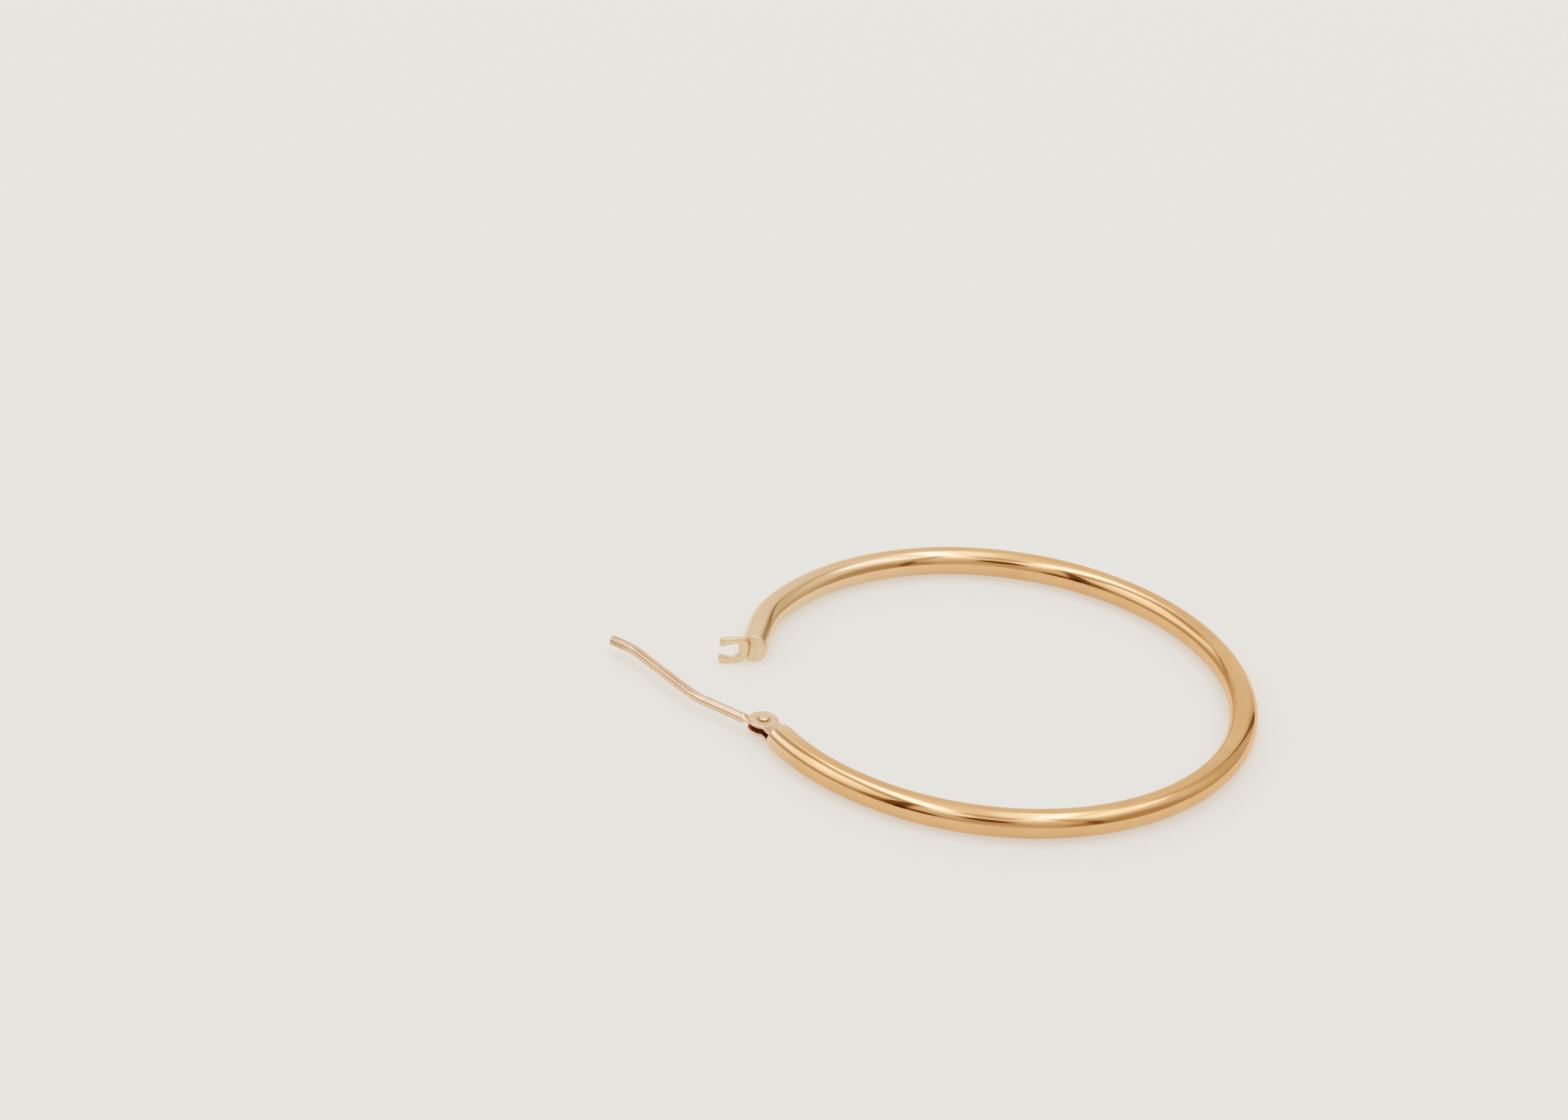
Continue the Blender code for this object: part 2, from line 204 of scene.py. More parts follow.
# Gold finishes. Sizes are lengths in metres; heights are the depth of the relief. Ends are
# tones and dullness that set in between two places along the work; their tones are painted
# light: paler painted reflection towards the tube's ends, painted shade at the wire's root and
# tip. A seat is a darker ring of painted shade and reflection round the rivet's foot, and a
# slit is painted shade inside the ears.
finishes = {
    "polishedGold": {
        "light": (0.915, 0.605, 0.315, 1.0), "dark": (0.86, 0.545, 0.27, 1.0),
        "pitTone": (0.42, 0.24, 0.10, 1.0),
        "alongWork": True, "roughness": 0.055, "dullness": 0.05, "toneSize": 2.2 * mm,
        "lineSize": 0.05 * mm, "lineLength": 60.0, "lineHeight": 0.000012 * mm,
        "grainSize": 0.22 * mm, "grainHeight": 0.0007 * mm,
        "pitSize": 1.3 * mm, "pitHeight": 0.004 * mm, "pitWidth": 0.035,
        "blotchSize": 1.5 * mm, "blotchAmount": 0.0,
        # the ends' tones are paler painted reflection towards the catch end and the hinge end
        "ends": [((0.91, 0.705, 0.48, 1.0), 0.0, 25.0 * mm, 47.0 * mm),
                 ((0.935, 0.74, 0.535, 1.0), 0.15, 46.0 * mm, 52.5 * mm),
                 ((0.92, 0.67, 0.42, 1.0), 0.0, -40.5 * mm, -43.5 * mm),
                 ((0.93, 0.74, 0.56, 1.0), 0.11, -43.3 * mm, -44.3 * mm)]},
    "castGold": {
        "light": (0.975, 0.82, 0.61, 1.0), "dark": (0.955, 0.745, 0.50, 1.0),
        "pitTone": (0.70, 0.50, 0.25, 1.0),
        "alongWork": False, "roughness": 0.42, "dullness": 0.12, "toneSize": 0.55 * mm,
        "lineSize": 0.07 * mm, "lineLength": 1.0, "lineHeight": 0.0003 * mm,
        "grainSize": 0.2 * mm, "grainHeight": 0.002 * mm,
        "pitSize": 0.45 * mm, "pitHeight": 0.003 * mm, "pitWidth": 0.12,
        "blotchSize": 0.16 * mm, "blotchAmount": 0.45},
    "sheetGold": {
        "light": (0.95, 0.77, 0.61, 1.0), "dark": (0.90, 0.695, 0.505, 1.0),
        "pitTone": (0.66, 0.44, 0.20, 1.0),
        "alongWork": False, "roughness": 0.28, "dullness": 0.12, "toneSize": 0.6 * mm,
        "lineSize": 0.07 * mm, "lineLength": 1.0, "lineHeight": 0.0002 * mm,
        "grainSize": 0.24 * mm, "grainHeight": 0.0015 * mm,
        "pitSize": 0.6 * mm, "pitHeight": 0.002 * mm, "pitWidth": 0.08,
        "blotchSize": 0.22 * mm, "blotchAmount": 0.3,
        # seat: a darker amber ring of painted shade and reflection round the rivet's foot
        "seat": (0.30 * mm, 0.62 * mm, (0.66, 0.38, 0.12, 1.0)),
        # slit: painted shade, dark red-brown, on the ears' faces inside the slot between them
        "slit": (0.193 * mm, 0.215 * mm, (0.50, 0.17, 0.04, 1.0))},
    # its dark amber tones are painted shade and gold-in-gold reflection of the crevice between the
    # fork and the cap
    "solderPaintedShade": {
        "light": (0.80, 0.54, 0.24, 1.0), "dark": (0.56, 0.33, 0.10, 1.0),
        "pitTone": (0.50, 0.28, 0.08, 1.0),
        "alongWork": False, "roughness": 0.28, "dullness": 0.12, "toneSize": 0.45 * mm,
        "lineSize": 0.07 * mm, "lineLength": 1.0, "lineHeight": 0.0003 * mm,
        "grainSize": 0.16 * mm, "grainHeight": 0.003 * mm,
        "pitSize": 0.3 * mm, "pitHeight": 0.004 * mm, "pitWidth": 0.15,
        "blotchSize": 0.2 * mm, "blotchAmount": 0.5},
    "rivetGold": {
        "light": (0.97, 0.82, 0.67, 1.0), "dark": (0.92, 0.74, 0.55, 1.0),
        "pitTone": (0.70, 0.50, 0.28, 1.0),
        "alongWork": False, "roughness": 0.16, "dullness": 0.09, "toneSize": 0.5 * mm,
        "lineSize": 0.04 * mm, "lineLength": 1.0, "lineHeight": 0.0002 * mm,
        "grainSize": 0.12 * mm, "grainHeight": 0.0012 * mm,
        "pitSize": 0.4 * mm, "pitHeight": 0.002 * mm, "pitWidth": 0.08,
        "blotchSize": 0.2 * mm, "blotchAmount": 0.3},
    "wireGold": {
        "light": (0.935, 0.72, 0.53, 1.0), "dark": (0.86, 0.625, 0.43, 1.0),
        "pitTone": (0.55, 0.36, 0.20, 1.0),
        "alongWork": True, "roughness": 0.13, "dullness": 0.08, "toneSize": 1.1 * mm,
        "lineSize": 0.035 * mm, "lineLength": 45.0, "lineHeight": 0.0003 * mm,
        "grainSize": 0.18 * mm, "grainHeight": 0.0005 * mm,
        "pitSize": 0.9 * mm, "pitHeight": 0.003 * mm, "pitWidth": 0.05,
        "blotchSize": 0.5 * mm, "blotchAmount": 0.3,
        # the ends' tones are painted shade, at the wire's root and at its tip
        "ends": [((0.91, 0.68, 0.49, 1.0), 0.06, 2.0 * mm, 1.4 * mm),
                 ((0.75, 0.54, 0.37, 1.0), 0.05, 12.0 * mm, 14.1 * mm)]},
}


def goldFinish(name, look):
    # Two tones of gold in soft clouds, lengthwise polishing lines, fine grain, soft blotches
    # and a few pits
    material = bpy.data.materials.new(name)
    material.use_nodes = True
    shader = material.node_tree.nodes["Principled BSDF"]
    start = Signal(material.node_tree)
    if look["alongWork"]:
        place = start.node("ShaderNodeAttribute", {"attribute_name": "straight"}, output=1)
    else:
        place = start.node("ShaderNodeTexCoord", output=3)
    tone = place.noise(1.0 / look["toneSize"], 4.0).ease(0.32, 0.68)
    lines = place.stretched(1.0 / look["lineLength"], 1.0, 1.0).noise(1.0 / look["lineSize"], 3.0)
    grain = place.noise(1.0 / look["grainSize"], 2.0)
    spots = place.node("ShaderNodeTexVoronoi", None,
                       {"Vector": place, "Scale": 1.0 / look["pitSize"], "Randomness": 1.0})
    pits = spots.ease(look["pitWidth"], 0.3 * look["pitWidth"])
    worn = place.noise(0.35 / look["toneSize"], 3.0).ease(0.4, 0.75)
    dull = lines * 0.35 + grain * 0.25 + worn * 0.4
    blotches = place.noise(1.0 / look["blotchSize"], 2.0).ease(0.56, 0.74) * look["blotchAmount"]
    colour = (tone * 0.7 + dull * 0.3).mixed(look["dark"], look["light"])
    roughness = dull * look["dullness"] + pits * 0.25 + look["roughness"]
    # Painted light: each end mixes in its painted tone (paler painted reflection on the tube,
    # painted shade on the wire) and adds its dullness to the roughness
    for paintedEndTone, endDullness, begins, complete in look.get("ends", []):
        paintedToneAndDullness = place.part(0).ease(begins, complete)
        colour = paintedToneAndDullness.mixed(colour, paintedEndTone)
        roughness = roughness + paintedToneAndDullness * endDullness
    # Painted shade: a darker amber ring round the rivet's foot stands for its shade and reflection
    # on the ear
    if "seat" in look:
        inner, outer, rivetShadeTone = look["seat"]
        level = place.stretched(1.0, 1.0, 0.0)
        axis = (pivot[0], pivot[1], 0.0)
        reach = level.node("ShaderNodeVectorMath", {"operation": "DISTANCE"},
                           {0: level, 1: axis}, output=1)
        colour = reach.ease(outer, inner).mixed(colour, rivetShadeTone)
        # Painted shade on the faces inside the slot between the ears
        inner, outer, slitShadeTone = look["slit"]
        rise = (place.part(2) - float(pivot[2])).maths("ABSOLUTE")
        colour = rise.ease(outer, inner).mixed(colour, slitShadeTone)
    colour = (blotches + pits).maths("MINIMUM", 1.0).mixed(colour, look["pitTone"])
    height = (lines * look["lineHeight"] + grain * look["grainHeight"]
              - pits * look["pitHeight"]) * (1.0 / mm)
    bump = start.node("ShaderNodeBump", None,
                      {"Strength": 1.0, "Distance": mm, "Height": height})
    links = material.node_tree.links
    links.new(colour.socket, shader.inputs["Base Color"])
    links.new(roughness.socket, shader.inputs["Roughness"])
    links.new(bump.socket, shader.inputs["Normal"])
    shader.inputs["Metallic"].default_value = 1.0
    return material


golds = {name: goldFinish(name, look) for name, look in finishes.items()}
print("gold finishes:", len(golds))


# Hoop: the bent tube
hoopTube = {
    "centreRadius": 17.34 * mm, "tubeRadius": 1.0 * mm,
    "hingeEnd": 214.0, "catchEnd": 174.6,  # degrees round the hoop
    "catchBendIn": 0.40 * mm, "catchBend": 19.0, "catchStraight": 2.0,
    "catchNarrowing": 0.06 * mm, "capThickness": 0.28 * mm,
    "domeLength": 0.36 * mm, "domeEndRadius": 0.60 * mm, "domeCrown": 0.03 * mm,
    "ovality": 0.005, "rows": 620, "columns": 72, "domeRows": 13, "faceRows": 8,
}
hinge = {
    "reach": 1.99 * mm, "outset": 0.16 * mm,  # of the pivot from the tube's end
    "earRadius": 1.04 * mm, "earThickness": 0.23 * mm, "earGap": 0.38 * mm, "earEdge": 0.11 * mm,
    "start": -0.2 * mm, "neckInset": 0.32 * mm, "neckOutset": 0.06 * mm, "fold": 0.16 * mm,
    "foldEdge": 0.06 * mm, "neckTurn": 20.0,  # degrees of the eye that the neck takes up
    "lumpSize": 0.8 * mm, "lumpHeight": 0.006 * mm,
}
hingeEnd = hoopTube["hingeEnd"]
hingeAlong = polar(1.0, hingeEnd - 90.0)
hingeOut = polar(1.0, hingeEnd)
hoopCentre = (pivot - polar(hoopTube["centreRadius"], hingeEnd)
              - hinge["reach"] * hingeAlong - hinge["outset"] * hingeOut)
perMetre = np.degrees(1.0 / hoopTube["centreRadius"])  # degrees of hoop for each metre


def catchEase(angle):
    # eases in and out with no jump of curvature: share^3 (6 share^2 - 15 share + 10)
    start = hoopTube["catchEnd"] - hoopTube["catchBend"] - hoopTube["catchStraight"]
    share = np.clip((angle - start) / hoopTube["catchBend"], 0.0, 1.0)
    return share ** 3 * (6.0 * share ** 2 - 15.0 * share + 10.0)


def alongHoop(angles, radii, columns, ovality=0.0):
    # point = hoop centre + (centre radius + r cos turn) outwards + r sin turn up, where
    # r is the row's radius, a little larger and smaller twice round the section
    turns = np.arange(columns) * 2.0 * np.pi / columns
    sway = np.radians(angles * 1.7)[:, None]
    oval = 1.0 + ovality * np.cos(2.0 * turns + 1.3 * np.sin(sway) + np.sin(2.3 * sway + 1.0))
    out = radii[:, None] * oval * np.cos(turns)
    high = radii[:, None] * oval * np.sin(turns)
    centre = hoopTube["centreRadius"] - hoopTube["catchBendIn"] * catchEase(angles)
    grid = hoopCentre + polar(centre[:, None] + out, angles[:, None])
    grid = grid + high[..., None] * upwards
    run = np.broadcast_to(np.radians(angles)[:, None] * hoopTube["centreRadius"], out.shape)
    return grid, np.stack([run, out, high], axis=-1)


def tubeSurface():
    # Rows from the middle of the hinge end: a low crown, 1 - share^2 high, a quarter ellipse
    # for the dome, then the body, which narrows a little on its way to the catch
    start = hingeEnd - 360.0
    end = hoopTube["catchEnd"] - 0.5 * hoopTube["capThickness"] * perMetre
    quarter = np.linspace(0.0, 90.0, hoopTube["domeRows"])[:-1]
    face = np.linspace(0.0, 1.0, hoopTube["faceRows"])[1:-1]  # from the middle to the rim
    tip, rim = hoopTube["domeLength"], hoopTube["domeEndRadius"]
    faceBack = tip + hoopTube["domeCrown"] * (1.0 - face ** 2)
    domeBack = tip * np.cos(np.radians(quarter))
    domeRadius = rim + (hoopTube["tubeRadius"] - rim) * np.sin(np.radians(quarter))
    body = np.linspace(start, end, hoopTube["rows"])
    bodyRadius = hoopTube["tubeRadius"] - hoopTube["catchNarrowing"] * catchEase(body)
    angles = np.concatenate([start - faceBack * perMetre, start - domeBack * perMetre, body])
    radii = np.concatenate([face * rim, domeRadius, bodyRadius])
    return alongHoop(angles, radii, hoopTube["columns"], hoopTube["ovality"])


addPiece("hoop_tube", [closedSurface(*tubeSurface())], golds["polishedGold"],
         "hoop", "polished_gold", "hoop")


# Catch: the cap that closes the tube, and the fork soldered on it
catchCap = {"backEdge": 0.04 * mm, "faceEdge": 0.10 * mm, "crown": 0.035 * mm, "columns": 72,
            "edgeRows": 9, "sunkenShare": 0.8, "lumpSize": 0.9 * mm, "lumpHeight": 0.008 * mm}


def capSurface():
    # A turned profile about the tube's end: sunken start, rounded back rim, side,
    # rounded face edge and a low crown. Back is the distance behind the crown's foot.
    radius = hoopTube["tubeRadius"]
    thick = hoopTube["capThickness"]
    quarter = np.radians(np.linspace(0.0, 90.0, catchCap["edgeRows"]))
    backEdge, faceEdge = catchCap["backEdge"], catchCap["faceEdge"]
    inner = np.linspace(1.0, 0.0, catchCap["edgeRows"])[1:-1]
    faceRadius = radius - faceEdge
    radii = np.concatenate([
        [catchCap["sunkenShare"] * radius], radius - backEdge * (1.0 - np.sin(quarter)),
        radius - faceEdge * (1.0 - np.cos(quarter)), inner * faceRadius])
    backs = np.concatenate([
        [thick], thick - backEdge * (1.0 - np.cos(quarter)),
        faceEdge * (1.0 - np.sin(quarter)), -catchCap["crown"] * (1.0 - inner ** 2)])
    angles = hoopTube["catchEnd"] - backs * perMetre
    grid, straight = alongHoop(angles, radii, catchCap["columns"])
    ahead = polar(1.0, hoopTube["catchEnd"] + 90.0)
    bumps = lumps(grid, catchCap["lumpSize"], catchCap["lumpHeight"])
    bumps = bumps * smoothStep(1.0 - backs / thick)[:, None]
    return grid + bumps[..., None] * ahead, straight


addPiece("catch_cap", [closedSurface(*capSurface())], golds["castGold"],
         "hoop", "polished_gold", "hoop")

fork = {
    "turn": 19.4, "backOffset": 0.36 * mm, "backWidth": 0.52 * mm, "length": 2.06 * mm,
    "strip": 0.42 * mm, "upperCorner": 0.62 * mm, "lowerCorner": 0.84 * mm,
    "depth": 0.40 * mm, "front": 0.22 * mm, "mouth": 0.37 * mm, "edge": 0.12 * mm,
    "tipStart": 15.0, "tipEnd": 60.0, "pinch": 0.06 * mm,  # the prongs' tips lean in
    "lumpSize": 1.1 * mm, "lumpHeight": 0.006 * mm,
}
solder = {"halfHeight": 0.64 * mm, "behind": 0.38 * mm, "boxiness": 0.55,
          "halfWidth": 0.28 * mm, "inset": 0.20 * mm, "lean": 0.07 * mm, "rows": 40,
          "columns": 48, "poleGap": 0.02, "lumpSize": 0.5 * mm, "lumpHeight": 0.02 * mm}


def arcPoints(centre, radius, start, end, count):
    # centre + radius times (cos, sin) of evenly spaced turns, in degrees
    turn = np.radians(np.linspace(start, end, count))
    return np.stack([centre[0] + radius * np.cos(turn), centre[1] + radius * np.sin(turn)], axis=-1)


def linePoints(start, end, count):
    # start + share * (end - start), without the two ends themselves
    share = np.linspace(0.0, 1.0, count)[1:-1, None]
    return np.asarray(start) * (1.0 - share) + np.asarray(end) * share


def outlineDistance(plan, outline):
    # shortest distance from each plan point to the closed outline's sides
    start, end = outline, np.roll(outline, -1, axis=0)
    side = end - start
    length = np.maximum((side ** 2).sum(axis=-1), 1e-18)
    gap = plan[:, None, :] - start[None]
    share = np.clip((gap * side).sum(axis=-1) / length, 0.0, 1.0)
    return np.sqrt(((gap - share[..., None] * side) ** 2).sum(axis=-1)).min(axis=1)


def plate(left, right, halfDepth, edge, place, lumpSize, lumpHeight, columns=40):
    # A flat part with rounded edges. Plan point = left + share * (right - left); its height
    # is half the depth - edge + root(edge^2 - (edge - distance to the outline)^2).
    share = 0.5 - 0.5 * np.cos(np.linspace(0.0, np.pi, columns))
    plan = left[:, None] + (right - left)[:, None] * share[None, :, None]
    outline = np.vstack([left, right[::-1]])
    distance = outlineDistance(plan.reshape(-1, 2), outline).reshape(plan.shape[:2])
    inner = edge - np.clip(distance, 0.0, edge)
    height = halfDepth - edge + np.sqrt(np.maximum(edge ** 2 - inner ** 2, 0.0))
    origin, xAxis, yAxis = place
    flat = origin + plan[..., :1] * xAxis + plan[..., 1:] * yAxis
    normal = np.cross(xAxis, yAxis)
    soft = lumps(flat, lumpSize, lumpHeight) * smoothStep(distance / (2.0 * edge))
    top = flat + (height + soft)[..., None] * normal
    bottom = flat - (height + soft)[..., None] * normal
    return closedSurface(np.concatenate([top, bottom[:, ::-1]], axis=1))


def prongSides(corner):
    # The upper half of the U strip, from its tip to the back: outer side and inner side
    half = hoopTube["tubeRadius"]
    mouth = fork["mouth"] - fork["pinch"]
    tipRadius = (half - mouth) / 2.0
    tipX = fork["backOffset"] + fork["length"] - tipRadius
    tipY = mouth + tipRadius
    bend = (fork["backOffset"] + corner, half - corner)
    innerCorner = corner - fork["strip"] / 2.0
    innerBend = (fork["backOffset"] + fork["backWidth"] + innerCorner,
                 half - fork["strip"] - innerCorner)
    outer = [arcPoints((tipX, tipY), tipRadius, fork["tipStart"], 90.0, 15),
             linePoints((tipX, half), (bend[0], half), 10),
             arcPoints(bend, corner, 90.0, 180.0, 21)]
    tip = arcPoints((tipX, tipY), tipRadius, fork["tipStart"], -fork["tipEnd"], 15)
    turn = arcPoints(innerBend, innerCorner, 90.0, 180.0, 21)
    return np.vstack(outer), np.vstack([tip, linePoints(tip[-1], turn[0], 10), turn])


def forkSurface(place):
    # The two long sides of the U strip, from the upper tip round to the lower one
    flip = np.array([1.0, -1.0])
    sides = []
    for upper, lower in zip(prongSides(fork["upperCorner"]), prongSides(fork["lowerCorner"])):
        lower = lower[::-1] * flip
        sides.append(np.vstack([upper, linePoints(upper[-1], lower[0], 10), lower]))
    return plate(*sides, fork["depth"] / 2.0, fork["edge"], place,
                 fork["lumpSize"], fork["lumpHeight"])


def swell(wave, power):
    # the wave's size to a power, under its own sign: a power below 1 makes a circle boxier
    return np.sign(wave) * np.abs(wave) ** power


def solderSurface(place):
    # A rounded block that leans: each half size times a power of sines and cosines of two
    # turns, so that its sides bulge a little, with soft lumps all over
    origin, outwards, behind = place
    row = np.linspace(solder["poleGap"], np.pi - solder["poleGap"], solder["rows"])[:, None]
    turn = np.linspace(0.0, 2.0 * np.pi, solder["columns"], endpoint=False)[None]
    power = solder["boxiness"]
    width = solder["halfWidth"]
    depth = solder["behind"] / 2.0
    x = fork["backOffset"] + fork["backWidth"] / 2.0 - solder["inset"]
    x = x + width * swell(np.sin(row), power) * swell(np.cos(turn), power)
    x = x - solder["lean"] * np.cos(row)
    y = solder["behind"] - depth + depth * swell(np.sin(row), power) * swell(np.sin(turn), power)
    z = solder["halfHeight"] * swell(np.cos(row), power) * np.ones_like(turn)
    grid = origin + x[..., None] * outwards + y[..., None] * behind + z[..., None] * upwards
    bumps = lumps(grid, solder["lumpSize"], solder["lumpHeight"])
    return closedSurface(grid + bumps[..., None] * outwards)


forkOrigin = hoopCentre + polar(hoopTube["centreRadius"] - hoopTube["catchBendIn"],
                                hoopTube["catchEnd"])
forkOut = polar(1.0, hoopTube["catchEnd"] + fork["turn"])
forkBehind = np.cross(forkOut, upwards)  # from the fork's face into the cap
forkMiddle = forkOrigin + (fork["depth"] / 2.0 - fork["front"]) * forkBehind
addPiece("catch_fork", [forkSurface((forkMiddle, forkOut, upwards))], golds["castGold"],
         "hoop", "polished_gold", "hoop")
# the solder's darker amber finish is painted shade of the crevice between the fork and the cap
addPiece("catch_solder", [solderSurface((forkOrigin, forkOut, forkBehind))],
         golds["solderPaintedShade"], "hoop", "polished_gold", "hoop")


# Hinge: folded sheet with two round ears, on a shoulder of solder
def earSides():
    # The neck from inside the tube's end, then the round eye: width on each side of its
    # centre line = root(radius^2 - distance^2), or the neck's where that is wider
    radius, reach = hinge["earRadius"], hinge["reach"]
    half = radius - hinge["neckInset"]
    low, high = hinge["neckOutset"] - half, hinge["neckOutset"] + half
    turns = np.radians(np.linspace(hinge["neckTurn"], 180.0, 60))
    neck = np.linspace(hinge["start"], reach - radius * np.cos(turns[0]), 24)[:-1]
    x = np.concatenate([neck, reach - radius * np.cos(turns)])
    width = np.sqrt(np.maximum(radius ** 2 - (x - reach) ** 2, 0.0))
    onNeck = x < reach
    upper = np.where(onNeck, np.maximum(high, hinge["outset"] + width), hinge["outset"] + width)
    lower = np.where(onNeck, np.minimum(low, hinge["outset"] - width), hinge["outset"] - width)
    return np.stack([x, lower], axis=-1), np.stack([x, upper], axis=-1)


def foldSurface(origin):
    # The sheet's fold: solid from the tube to a round slot between the ears, seen from the
    # side, carried across the neck's width
    halfEars = hinge["earGap"] / 2.0 + hinge["earThickness"]
    gap = hinge["earGap"] / 2.0
    high = np.linspace(-halfEars, halfEars, 61)
    hollow = np.sqrt(np.maximum(gap ** 2 - high ** 2, 0.0))
    right = np.stack([hinge["fold"] + gap - hollow, high], axis=-1)
    left = np.stack([np.zeros_like(high), high], axis=-1)
    halfWidth = hinge["earRadius"] - hinge["neckInset"]
    middle = origin + hinge["neckOutset"] * hingeOut
    return plate(left, right, halfWidth, hinge["foldEdge"], (middle, hingeAlong, upwards),
                 hinge["lumpSize"], 0.0)


shoulder = {"start": 0.03 * mm, "end": 0.98 * mm, "spreadOut": 0.05 * mm, "spreadUp": 0.585 * mm,
            "sink": 0.012 * mm, "floor": 0.26 * mm, "lumpSize": 0.7 * mm, "lumpHeight": 0.03 * mm,
            "boxiness": (0.30, 0.90)}  # at the neck and at the tube's end


def shoulderSurface(origin, side):
    # A mound of solder on the neck, above (side 1) or below it: super-ellipse sections whose
    # half sizes fall from the tube's end to the neck as (1 - share)(1 + 0.4 share), cut level
    # inside the sheet, with soft lumps
    share = np.linspace(0.0, 1.0, 44)
    fall = (1.0 - share) * (1.0 + 0.4 * share)
    x = shoulder["start"] + (shoulder["end"] - shoulder["start"]) * share
    halfEars = hinge["earGap"] / 2.0 + hinge["earThickness"]
    neck = hinge["earRadius"] - hinge["neckInset"]
    wide = neck - shoulder["sink"] + shoulder["spreadOut"] * fall
    tall = halfEars - shoulder["sink"] + shoulder["spreadUp"] * fall
    turn = np.linspace(0.0, 2.0 * np.pi, 64, endpoint=False)
    atNeck, atTube = shoulder["boxiness"]
    power = (atNeck + (atTube - atNeck) * fall)[:, None]
    across = swell(np.cos(turn), power) * wide[:, None]
    high = swell(np.sin(turn), power) * tall[:, None]
    grid = (origin + x[:, None, None] * hingeAlong + high[..., None] * upwards
            + (across + hinge["neckOutset"])[..., None] * hingeOut)
    bumps = lumps(grid, shoulder["lumpSize"], shoulder["lumpHeight"])
    bumps = bumps * (np.sin(np.pi * share ** 0.7) * np.clip(high / tall[:, None], 0.0, 1.0).T).T
    level = np.maximum(high + bumps, shoulder["floor"]) - high
    grid = grid + level[..., None] * upwards
    mirrored = grid * np.array([1.0, 1.0, side]) + (1.0 - side) * origin * upwards
    return closedSurface(mirrored)


def hingeSurfaces():
    # The two ears, half a gap and half a sheet above and below the middle, the fold that
    # joins them, and the two mounds
    origin = hoopCentre + polar(hoopTube["centreRadius"], hingeEnd)
    low, high = earSides()
    offset = (hinge["earGap"] + hinge["earThickness"]) / 2.0
    ears = [plate(low, high, hinge["earThickness"] / 2.0, hinge["earEdge"],
                  (origin + side * offset * upwards, hingeAlong, hingeOut),
                  hinge["lumpSize"], hinge["lumpHeight"]) for side in (-1.0, 1.0)]
    return ears + [foldSurface(origin)], [shoulderSurface(origin, side) for side in (1.0, -1.0)]


bracket, collar = hingeSurfaces()
addPiece("hinge_ears", bracket, golds["sheetGold"], "hoop", "polished_gold", "hoop")
addPiece("hinge_solder", collar, golds["sheetGold"], "hoop", "polished_gold", "hoop")

rivet = {"radius": 0.26 * mm, "headRadius": 0.35 * mm, "headHeight": 0.15 * mm,
         "clearance": 0.004 * mm, "rounding": 0.45, "headRows": 18, "columns": 48}
nearlyQuarter = 88.0  # degrees: a rounded end stops just short of its pole


def rivetSurface():
    # A turned profile: head radius times cos^p over head height times sin^p of a quarter
    # turn, the shaft, and the same head upside down
    seat = hinge["earGap"] / 2.0 + hinge["earThickness"] + rivet["clearance"]
    quarter = np.radians(np.linspace(0.0, nearlyQuarter, rivet["headRows"]))
    headRadius = rivet["headRadius"] * np.cos(quarter) ** rivet["rounding"]
    headHeight = seat + rivet["headHeight"] * np.sin(quarter) ** rivet["rounding"]
    radii = np.concatenate([[rivet["radius"]], headRadius])
    heights = np.concatenate([[seat], headHeight])
    radii = np.concatenate([radii[::-1], radii])
    heights = np.concatenate([-heights[::-1], heights])
    turn = np.arange(rivet["columns"]) * 360.0 / rivet["columns"]
    grid = pivot + polar(radii[:, None], turn[None]) + heights[:, None, None] * upwards
    return closedSurface(grid)


addPiece("domed_rivet", [rivetSurface()], golds["rivetGold"], "hoop", "rivet_gold", "hinge_rivet")


# Swing wire: two straight runs and a short tip, joined by two gentle bends
swingWire = {
    "radius": 0.34 * mm, "openTurn": 66.0, "outset": 0.29 * mm,
    "firstRun": 4.63 * mm, "firstBend": -17.3, "firstBendRadius": 5.5 * mm,
    "secondBend": 18.5, "secondBendRadius": 4.3 * mm, "tipRun": 1.0 * mm,
    "pastCatch": 4.6 * mm, "catchPlay": 0.03 * mm, "tipRounding": 0.14 * mm,
    "tongueHalfThickness": 0.12 * mm, "tongueTaper": 0.34 * mm, "play": 0.06 * mm,
    "eyeInset": 0.34 * mm, "eyeClearance": 0.02 * mm, "eyeBoxiness": 0.35,
    "eyeHalfThickness": 0.10 * mm, "eyeLift": 0.065 * mm,  # it bears on the upper ear
    "root": 0.45 * mm, "rows": 320, "columns": 40,  # the root starts inside the eye
    "tipRows": 12, "tongueBoxiness": 0.55, "eyeRows": 72, "eyeColumns": 28,
}


def wirePath(count):
    # heading(s) is steady on the runs and turns evenly in the bends; the place is the
    # running sum of (cos, sin) heading times the step
    seat = fork["backOffset"] + fork["backWidth"]
    seat = seat + swingWire["radius"] + 2.0 * swingWire["catchPlay"]
    length = np.linalg.norm(forkOrigin + seat * forkOut - pivot) + swingWire["pastCatch"]
    bends = [abs(np.radians(swingWire["firstBend"])) * swingWire["firstBendRadius"],
             abs(np.radians(swingWire["secondBend"])) * swingWire["secondBendRadius"]]
    second = length - swingWire["firstRun"] - swingWire["tipRun"] - sum(bends)
    marks = np.cumsum([0.0, swingWire["firstRun"], bends[0], second, bends[1], swingWire["tipRun"]])
    first = hingeEnd - swingWire["openTurn"]
    turned = np.cumsum([0.0, swingWire["firstBend"], swingWire["secondBend"]])
    headings = first + turned[[0, 0, 1, 1, 2, 2]]
    travelled = np.linspace(swingWire["root"], marks[-1], count)
    heading = np.interp(travelled, marks, headings)
    middle = (heading[1:] + heading[:-1]) / 2.0
    steps = polar(travelled[1] - travelled[0], middle)
    start = (pivot + swingWire["outset"] * polar(1.0, first + 90.0)
             + swingWire["root"] * polar(1.0, first))
    places = start + np.vstack([np.zeros(3), np.cumsum(steps, axis=0)])
    return travelled, places, heading


